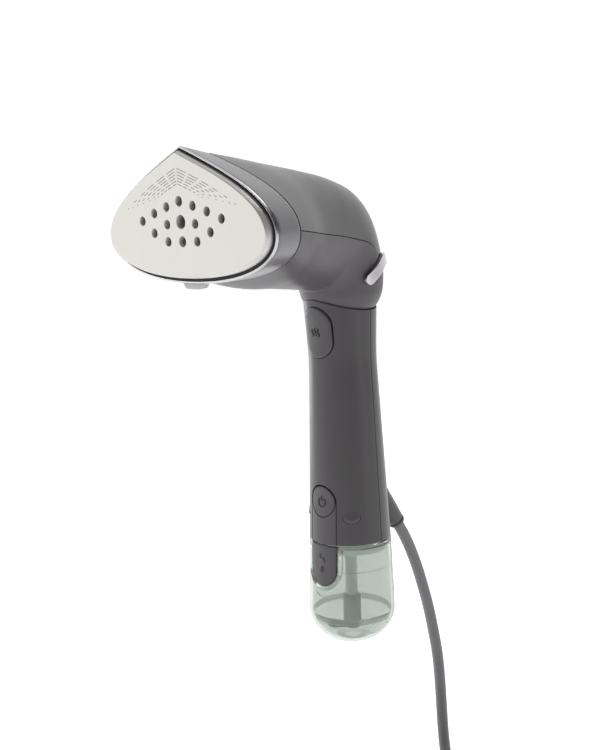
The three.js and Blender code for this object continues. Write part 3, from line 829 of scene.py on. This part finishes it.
def stadium_prism(*shape, **ends):
    front = [at(x, -45, z) for x, z in stadium(*shape, **ends)]
    return prism("panel", front, Vector((0, 0.04, 0)))


def pad(name, surface, shape, profile, sharp=30):
    """A rounded pad in a curved skin, from rings given as (inset, lift)."""
    rings = [[surface(x, z, lift) for x, z in stadium(*shape, inset=inset)] for inset, lift in profile]
    return loft(name, rings, sharp=sharp)


TRIGGER = (10.5, 111.9, 142.1)
POWER = (9.2, 16.8, 35.2)


def add_handle():
    heights = [0.3, 0.45, 0.9, 2] + [2 + 3 * i for i in range(1, 48)] + [146]
    lifts = {0.3: -0.55, 0.45: -0.2}
    outer = [handle_ring(z, lifts.get(z, 0)) for z in heights]
    skin = sheet("handle_skin", outer)
    front = shell("handle_front", outer, [handle_ring(z, -WALL) for z in heights])
    room = BALL + 0.6
    socket = ellipsoid("socket", (0.6, PIVOT_Y, PIVOT_Z), (room, room, room), 64, 96, sharp=None)
    boolean(front, "DIFFERENCE", socket)
    back = copy_of(front, "handle_back")
    # The two halves meet at a groove just behind the middle.
    for obj, edge, far in ((front, 0.78, -60), (back, 1.22, 60)):
        boolean(obj, "INTERSECT", side_prism("half", [(far, -10), (edge, -10), (edge, 200), (far, 200)]))
    hw, low, high = TRIGGER
    gap, track = 0.42, 10.25
    boolean(front, "DIFFERENCE",
            stadium_prism(hw + gap, low - gap, high + gap),
            stadium_prism(track, -6, 26 + track, round_bottom=False))
    for obj, node in ((front, "handle_front_shell"), (back, "handle_back_shell")):
        take_normals(obj, skin)
        finish_mesh(obj, "casing", "handle", (node,))
    bpy.data.objects.remove(skin)


add_handle()


def arc(x, z, radius, start, end, steps=28):
    """Points round a centre, with angles in degrees, anticlockwise from +X."""
    angles = (math.radians(lerp(start, end, i / steps)) for i in range(steps + 1))
    return [(x + radius * math.cos(a), z + radius * math.sin(a)) for a in angles]


def strokes(name, surface, lines, width, finish, body, lift, crown=0):
    """Thin bars that follow the lines over a curved surface, flat on top or with a round crown."""
    section = [(1, lift - 0.25), (1, lift), (-1, lift), (-1, lift - 0.25)]
    if crown:
        arch = [math.pi * k / 8 for k in range(9)]
        section[1:3] = [(math.cos(a), lift + crown * math.sin(a)) for a in arch]
    runs = []
    for line in lines:
        last = len(line) - 1
        rings = []
        for i, (x, z) in enumerate(line):
            ax, az = line[max(0, i - 1)]
            bx, bz = line[min(last, i + 1)]
            size = math.hypot(bx - ax, bz - az) or 1
            nx, nz = (az - bz) / size, (bx - ax) / size
            half = width / 2 * (0.7 if i in (0, last) else 1)
            rings.append([surface(x + nx * half * side, z + nz * half * side, h) for side, h in section])
        runs.append(rings)
    return finish_mesh(bars(name, runs, sharp=30), finish, body)


def outline_of(shape):
    """The closed outline of an upright stadium as one line that ends where it starts."""
    half_width, low, high = shape
    top = arc(0, high - half_width, half_width, 0, 180)
    bottom = arc(0, low + half_width, half_width, 180, 360)
    return top + bottom + top[:1]


def add_trigger():
    clear = BALL + 1.5

    def trigger_skin(x, z, lift):
        """The handle's skin, but the pad's back keeps clear of the head's ball."""
        point = handle_front(x, z, lift)
        dz = z - PIVOT_Z
        room = clear * clear - x * x - dz * dz
        if lift < -1 and room > 0:
            point.y = min(handle_front(x, z, -0.6).y, (PIVOT_Y - math.sqrt(room)) / 1000)
        return point

    hw, low, high = TRIGGER
    profile = [
        (hw - 0.01, -3.2), (3, -3.2), (0, -3.2), (0, -0.1), (0.1, 0.25), (0.35, 0.52), (0.8, 0.68),
        (1.6, 0.72), (4, 0.6), (7.5, 0.45), (hw - 0.01, 0.4),
    ]
    trigger = pad("steam_trigger_pad", trigger_skin, TRIGGER, profile)
    finish_mesh(trigger, "control", "trigger", ("steam_trigger",))
    # A near-black line round the trigger: painted shade in the gap about it.
    edge = outline_of((hw + 0.05, low - 0.05, high + 0.05))
    strokes("trigger_gap_shade", handle_front, [edge], 0.6, "gap", "handle", 0.05)


def add_power():
    hw, low, high = POWER
    profile = [
        (hw - 0.01, -3.1), (3, -3.1), (0, -3.1), (0, -0.35), (0.12, -0.15), (0.4, -0.08), (1, -0.1),
        (3, -0.22), (6, -0.34), (hw - 0.01, -0.38),
    ]
    power = pad("power_button_disc", handle_front, POWER, profile)
    finish_mesh(power, "control", "power", ("power_button",))
    # Near-black lines round the power button and down both sides of the strip: painted shade in the gaps
    # there.
    ring = outline_of((hw + 0.15, low - 0.15, high + 0.15))
    sides = [[(x, z) for z in (0.5, 6, 12, 18, 24, 26)] for x in (-10, 10)]
    strokes("button_gap_shade", handle_front, [ring, *sides], 0.4, "gap", "handle", 0.04)


def add_strip():
    """The strip that fills the space between the power button and the tank."""
    reach, rows = 9.85, 14
    across = [reach * s for s in (-1, -0.985, -0.95)] + [reach * (i / 20) for i in range(-18, 19)]
    across += [reach * s for s in (0.95, 0.985, 1)]
    front, back = [], []
    for x in across:
        drop = 0.25 * max(0, (abs(x) / reach - 0.95) / 0.05) ** 2
        top = 26 - math.sqrt(max(0, 9.62**2 - x * x))
        for k in range(rows + 1):
            z = lerp(0.35, top, k / rows)
            front.append(handle_front(x, z, -drop))
            back.append(handle_front(x, z, -2.1))
    faces = []
    columns, depth = len(across), rows + 1
    for i in range(columns - 1):
        for a in range(i * depth, i * depth + rows):
            faces.append((a, a + depth, a + depth + 1, a + 1))
    shift = len(front)
    faces += [tuple(shift + v for v in face[::-1]) for face in faces]
    border = [i * depth for i in range(columns)] + [(columns - 1) * depth + k for k in range(1, depth)]
    border += [i * depth + rows for i in range(columns - 2, -1, -1)] + list(range(rows - 1, 0, -1))
    faces += [(a, b, b + shift, a + shift) for a, b in zip(border, border[1:] + border[:1])]
    strip = object_of("button_strip_panel", front + back, faces)
    finish_mesh(strip, "control", "handle", ("button_strip",))


def add_latch(name, side):
    middle = side * math.radians(46.8)
    centre, slope = 18.5, 0.68

    def latch_skin(x, z, lift):
        if lift > 0:
            lift *= lerp(0.5, 0.06, smooth(z, 14, 23.5))
        level = 17.4 + slope * (z - centre)
        return at(*handle_point(middle + x / handle_radius(level), level, lift))

    profile = [
        (5.19, -4), (2, -4), (0, -4), (0, -0.25), (0.25, 0.15), (0.8, 0.62), (1.8, 1.0), (3.4, 1.2),
        (5.19, 1.25),
    ]
    button = pad(f"latch_button_{name}", latch_skin, (5.2, 13.3, 23.7), profile)
    finish_mesh(button, "control", f"latch_{name}", (f"tank_latch_button_{name}",))
    # A near-black line round the lower part of the button only: painted shade, which falls below the raised
    # button where the light from above does not reach.
    groove = arc(0, centre, 5.35, 165, 375)
    strokes(f"latch_gap_shade_{name}", latch_skin, [groove], 0.45, "gap", "handle", 0.04)


add_trigger()
add_power()
add_strip()
add_latch("right", 1)
add_latch("left", -1)


def add_symbols():
    """Generic signs for steam, power and filling, as thin raised print."""

    def wave(x, low, high, sway):
        return [(x + sway * math.sin(2 * math.pi * i / 16), lerp(low, high, i / 16)) for i in range(17)]

    steam = [wave(-2.3 + 2.3 * i, 124.6 + 0.5 * (i == 1), 129.2 + 0.9 * (i == 1), 0.55) for i in range(3)]
    strokes("steam_symbol", handle_front, steam, 0.5, "gap", "trigger", 0.78)

    power = [arc(0, 25.6, 2.75, 125, 415), [(0, 26.3), (0, 28), (0, 29.7)]]
    strokes("power_symbol", handle_front, power, 0.85, "ink", "power", -0.05)

    drop = [
        (1.15 * math.sin(a) * math.sin(a / 2), -15.2 + 1.7 * math.cos(a)) for a in [*turn(18), 2 * math.pi]
    ]
    tap = [
        [(-2.6, -8.2), (-0.6, -8.2), (1.0, -8.4), (1.8, -9.4), (1.8, -10.6)],
        [(-1.2, -6.2), (-1.2, -8.2)],
        [(-2.5, -6.2), (0.1, -6.2)],
    ]
    strokes("fill_symbol", tank_front, tap + [drop], 0.62, "ink", "filler", 0.24)


# ---------------------------------------------------------------- tank
TANK_PROFILE = [
    (0.5, 24.9), (-20, 25.6), (-40, 26.3), (-47, 26.2), (-51, 25.2), (-55, 23.1), (-59, 19.8), (-62, 15.9),
    (-64.2, 11.4), (-65, 7),
]
TANK_CURVE = curve_through(TANK_PROFILE, 8)


def tank_radius(z):
    for (high, r1), (low, r2) in zip(TANK_CURVE, TANK_CURVE[1:]):
        if low <= z <= high:
            return lerp(r1, r2, (high - z) / (high - low))
    return TANK_CURVE[0][1]


def tank_front(x, z, lift):
    r = tank_radius(z) + lift
    return at(x, -math.sqrt(max(0, r * r - x * x)), z)


def revolve(name, profile, closed=True, around=120, sharp=35):
    """A body turned about the upright middle axis from (radius, height) points."""
    rings = [[at(r * math.cos(a), r * math.sin(a), z) for a in turn(around)] for r, z in profile]
    return sheet(name, rings, closed=True, sharp=sharp) if closed else loft(name, rings, sharp=sharp)


def along_axis(name, start, end, profile, around=32):
    """A body turned about a slanted axis, from (distance, radius) points."""
    axis = (end - start).normalized()
    side = axis.orthogonal().normalized()
    other = axis.cross(side)
    return loft(name, [
        [start + axis * (s / 1000) + (side * math.cos(a) + other * math.sin(a)) * (r / 1000)
         for a in turn(around)]
        for s, r in profile
    ])


def tank_skin_line(low, high, inset):
    """(radius, height) down the tank's wall, moved inwards along its own normal."""
    line = []
    for i, (z, r) in enumerate(TANK_CURVE):
        za, ra = TANK_CURVE[max(0, i - 1)]
        zb, rb = TANK_CURVE[min(len(TANK_CURVE) - 1, i + 1)]
        size = math.hypot(rb - ra, zb - za)
        line.append((r - inset * (za - zb) / size, z + inset * (ra - rb) / size))
    return [p for p in line if low < p[1] < high]


def tank_slab(name, shape, outer, inner):
    """A block that follows the tank's front between two depths."""
    hw = shape[0] - 0.01
    return pad(name, tank_front, shape, [(hw, inner), (0, inner), (0, outer), (hw, outer)], sharp=None)


def add_vessel():
    outside = [(24.6, -0.35), (24.92, -0.7), *tank_skin_line(-64.95, -1, 0), (5, -65)]
    inside = [(22.9, -0.35), *tank_skin_line(-62.9, -1, 2), (4, -63)]
    wall = revolve("tank_body", outside[::-1] + inside, closed=False)
    skin = revolve("tank_skin", outside, closed=False)
    # The door lies in a recess, with a finger scoop at its foot and the wall thickened behind it.
    backing = tank_slab("backing", (11.5, -27.2, -3, False, True), -1.2, -3.2)
    boolean(wall, "UNION", backing)
    recess = tank_slab("recess", (10.2, -25.95, 8, False, True), 3, -1.6)
    scoop = ellipsoid("scoop", (0, -26.4, -26.2), (8.2, 1.9, 6), 24, 40)
    boolean(wall, "DIFFERENCE", recess, scoop)
    take_normals(wall, skin)
    bpy.data.objects.remove(skin)
    finish_mesh(wall, "tank_clear", "tank", ("tank_wall", "tank_base"))

    band = revolve("tank_weld_rib", [
        (24.22, -45.2), (23.95, -45.5), (23.8, -47.9), (23.6, -48.6), (23.75, -48.9),
    ], sharp=40)
    finish_mesh(band, "tank_band", "tank")


def add_level_line():
    """Two raised lines round the tank, apart at the front and at the back."""
    height, section = -16, ((-0.16, -0.1), (-0.12, 0.07), (0.12, 0.07), (0.16, -0.1))
    runs = []
    for start, end in ((25, 150), (210, 335)):
        rings = []
        for a in (math.radians(lerp(start, end, i / 40)) for i in range(41)):
            spots = [(tank_radius(height + up) + lift, height + up) for up, lift in section]
            rings.append([at(r * math.sin(a), -r * math.cos(a), z) for r, z in spots])
        runs.append(rings)
    finish_mesh(bars("tank_level_line", runs, sharp=35), "tank_band", "tank")


def add_pickup():
    """The suction tube with its filter at the tank's foot."""
    tube = revolve("suction_pipe", [
        (2.4, -9.35), (3.5, -9.35), (3.7, -9.7), (3.7, -36.9), (3.5, -37.25), (2.4, -37.25),
    ], around=48)
    # The tube's finish carries a faint painted glow.
    finish_mesh(tube, "tube_light", "tank", ("suction_tube",))
    screen = revolve("intake_screen", [
        (2.4, -37.45), (5.3, -37.45), (5.5, -37.7), (5.5, -56.5), (4.6, -58.6), (3.2, -59.4),
    ], closed=False, around=48)
    finish_mesh(screen, "tank_tube", "tank", ("intake_filter",))
    foot = along_axis("filter_foot", at(3, 3, -57), at(-11.1, -11.1, -57), [
        (0.05, 0.5), (0.2, 1.2), (1, 2.1), (2.4, 2.6), (17, 2.6), (18.8, 2.2), (19.8, 1.2), (19.95, 0.5),
    ])
    finish_mesh(foot, "tank_tube", "tank")


def add_door():
    foot, hinge = -15.65, -4.5
    rim = arc(0, foot, 11.6, 190, 350)
    strokes("door_rim", tank_front, [rim], 2.2, "tank_clear", "tank", 0.02, crown=0.9)
    # A near-black line down one side of the door and round a quarter of its foot: painted shade in the gap on
    # that side.
    gap = [(10, z) for z in (hinge, -8, -12, foot)] + arc(0, foot, 10, 0, -90)
    strokes("door_gap_shade", tank_front, [gap], 0.35, "gap", "tank", 0.04)
    shape = (9.85, -25.5, -0.4, False, True)
    hw = shape[0] - 0.01
    profile = [
        (hw, -1.3), (4, -1.3), (0, -1.3), (0, -0.3), (0.1, -0.1), (0.35, 0.02), (0.9, 0.07), (4, 0.07),
        (hw, 0.07),
    ]
    door = pad("fill_door_flap", tank_front, shape, profile)
    finish_mesh(door, "control", "filler", ("fill_door",))


add_vessel()
add_level_line()
add_pickup()
add_door()
add_symbols()


# ---------------------------------------------------------------- strain relief, plug and tie
def add_strain_relief():
    relief = along_axis("strain_relief_sleeve", at(0, 18.2, 30), CORD_EXIT, [
        (4.5, 7.7), (12, 7.35), (20, 6.85), (28, 6.3), (34, 5.8), (37.2, 5.5), (37.35, 5.1), (37.75, 5.0),
        (37.9, 5.45), (38.4, 5.62), (40, 5.5), (40.6, 5.2), (40.8, 4.6), (40.8, 3.9),
    ], around=64)
    finish_mesh(relief, "casing", "handle", ("cord_strain_relief",))


def add_plug():
    start = from_coil(42)
    axis = (from_coil(84) - start).normalized()
    up = Vector((0, 0, 1))
    side = axis.cross(up).normalized()
    # Along the body: distance, radius, and how deep the grip's ribs are.
    profile = [
        (0, 5.2, 0), (0.6, 5.9, 0), (6, 7.4, 0), (10, 9.6, 0), (13, 13, 0), (15, 15.6, 0), (17, 16.9, 0.5),
        (21, 17.4, 0.8), (26, 17.6, 0.8), (30, 17.7, 0.5), (32, 17.9, 0), (33, 18.35, 0),
        (34, PLUG_RADIUS, 0), (39.5, PLUG_RADIUS, 0), (41, 18.1, 0), (41.9, 16.8, 0), (42, 15.5, 0),
    ]
    ribs = 24
    rings = []
    for s, r, rib in profile:
        ring = []
        for a in turn(72):
            reach = r - rib * (0.5 + 0.5 * math.cos(a * ribs))
            ring.append(start + axis * (s / 1000) + (side * math.cos(a) + up * math.sin(a)) * (reach / 1000))
        rings.append(ring)
    body = loft("plug_body", rings, sharp=45)
    parts = [finish_mesh(body, "cord_jacket", "handle", ("mains_plug",))]
    for i, offset in ((1, -9.5), (2, 9.5)):
        ends = from_coil(84.1, offset), from_coil(103.3, offset)
        sleeve = along_axis(f"plug_sleeve_{i}", *ends, [(-1.5, 2.3), (0.3, 2.35), (9.6, 2.3), (9.9, 2.0)])
        pin = along_axis(f"plug_contact_{i}", *ends, [
            (9.4, 1.9), (9.5, 2.4), (17.2, 2.4), (18.5, 2.1), (19.1, 1.3), (19.2, 0.4),
        ])
        parts.append(finish_mesh(sleeve, "rubber", "handle"))
        parts.append(finish_mesh(pin, "brass", "handle", (f"plug_pin_{i}",)))
    return parts


def add_tie():
    """A strap round the coil's section that holds the turns together."""
    angle = math.radians(150)
    outward = Vector((math.cos(angle), math.sin(angle), 0))
    along = Vector((-math.sin(angle), math.cos(angle), 0))
    middle = at(*COIL_CENTRE, 0) + outward * (COIL_RADIUS / 1000)
    low, high = COIL_LAY - CORD_RADIUS - 0.1, COIL_LAY + COIL_STEP + CORD_RADIUS + 0.15
    half, corner = 14.85, 3.4

    def loop(grow):
        x, top, bottom = half - corner, high - corner, low + corner
        points = []
        for cx, cz, start in ((x, top, 0), (-x, top, 90), (-x, bottom, 180), (x, bottom, 270)):
            points += arc(cx, cz, corner + grow, start, start + 90, 8)
        return points

    rings = []
    for across, grow in ((-5, 0), (-5, 0.6), (-4.6, 0.75), (4.6, 0.75), (5, 0.6), (5, 0)):
        rings.append([
            middle + outward * (x / 1000) + along * (across / 1000) + Vector((0, 0, z / 1000))
            for x, z in loop(grow)
        ])
    tie = sheet("coil_tie", rings, closed=True, sharp=40)
    return finish_mesh(tie, "rubber", "handle")


add_strain_relief()
on_cord = [*add_plug(), add_tie()]


# ---------------------------------------------------------------- studio
def add_studio():
    mesh = bpy.data.meshes.new("studio_floor")
    reach, low = 40, at(0, 0, FLOOR).z - 0.0003
    corners = [(x * reach, y * reach, low) for x, y in ((-1, -1), (1, -1), (1, 1), (-1, 1))]
    mesh.from_pydata(corners, [], [(0, 1, 2, 3)])
    floor = bpy.data.objects.new("studio_floor", mesh)
    bpy.context.scene.collection.objects.link(floor)
    floor_look = Shader("floor_paper", Emission_Color=(1, 1, 1, 1), Emission_Strength=0.6)
    floor_look.vary((0.9, 0.9, 0.9, 1), 0.01, 0.5, (0.8, 0.9))
    mesh.materials.append(floor_look.material)

    # A white sweep behind and below the object, and a dimmer room in front of it that isn't seen.
    world = bpy.data.worlds.new("studio")
    world.use_nodes = True
    nodes, link = world.node_tree.nodes, world.node_tree.links.new
    towards = nodes.new("ShaderNodeVectorMath")
    towards.operation = "DOT_PRODUCT"
    towards.inputs[1].default_value = (-0.71, 0.7, 0.05)
    link(nodes.new("ShaderNodeTexCoord").outputs["Generated"], towards.inputs[0])
    share = nodes.new("ShaderNodeMapRange")
    share.interpolation_type = "SMOOTHSTEP"
    for socket, value in (("From Min", -0.1), ("From Max", 0.7), ("To Min", 0.06), ("To Max", 1.12)):
        share.inputs[socket].default_value = value
    link(towards.outputs["Value"], share.inputs["Value"])
    seen = nodes.new("ShaderNodeMath")
    seen.operation = "MAXIMUM"
    link(share.outputs["Result"], seen.inputs[0])
    link(nodes.new("ShaderNodeLightPath").outputs["Is Camera Ray"], seen.inputs[1])
    link(seen.outputs["Value"], nodes["Background"].inputs["Strength"])
    nodes["Background"].inputs["Color"].default_value = (1, 1, 1, 1)
    bpy.context.scene.world = world

    def area(name, place, size, power, target=(0, -0.03, 0.05)):
        light = bpy.data.lights.new(name, "AREA")
        light.shape = "RECTANGLE"
        light.size, light.size_y = size
        light.energy = power
        lamp = bpy.data.objects.new(name, light)
        lamp.location = place
        lamp.rotation_euler = (Vector(target) - Vector(place)).to_track_quat("-Z", "Y").to_euler()
        bpy.context.scene.collection.objects.link(lamp)

    area("key_light", (-1.1, -1.4, 0.8), (1.0, 1.2), 12)
    area("top_light", (0.3, 0.5, 1.8), (0.8, 1.2), 8)
    area("left_light", (-1.5, 0.1, 0.2), (0.7, 1.4), 5.5)
    area("right_light", (1.1, 0.3, -0.05), (0.5, 0.8), 0.7, (0, -0.02, 0.1))
    bpy.context.scene.view_settings.view_transform = "Standard"


add_studio()
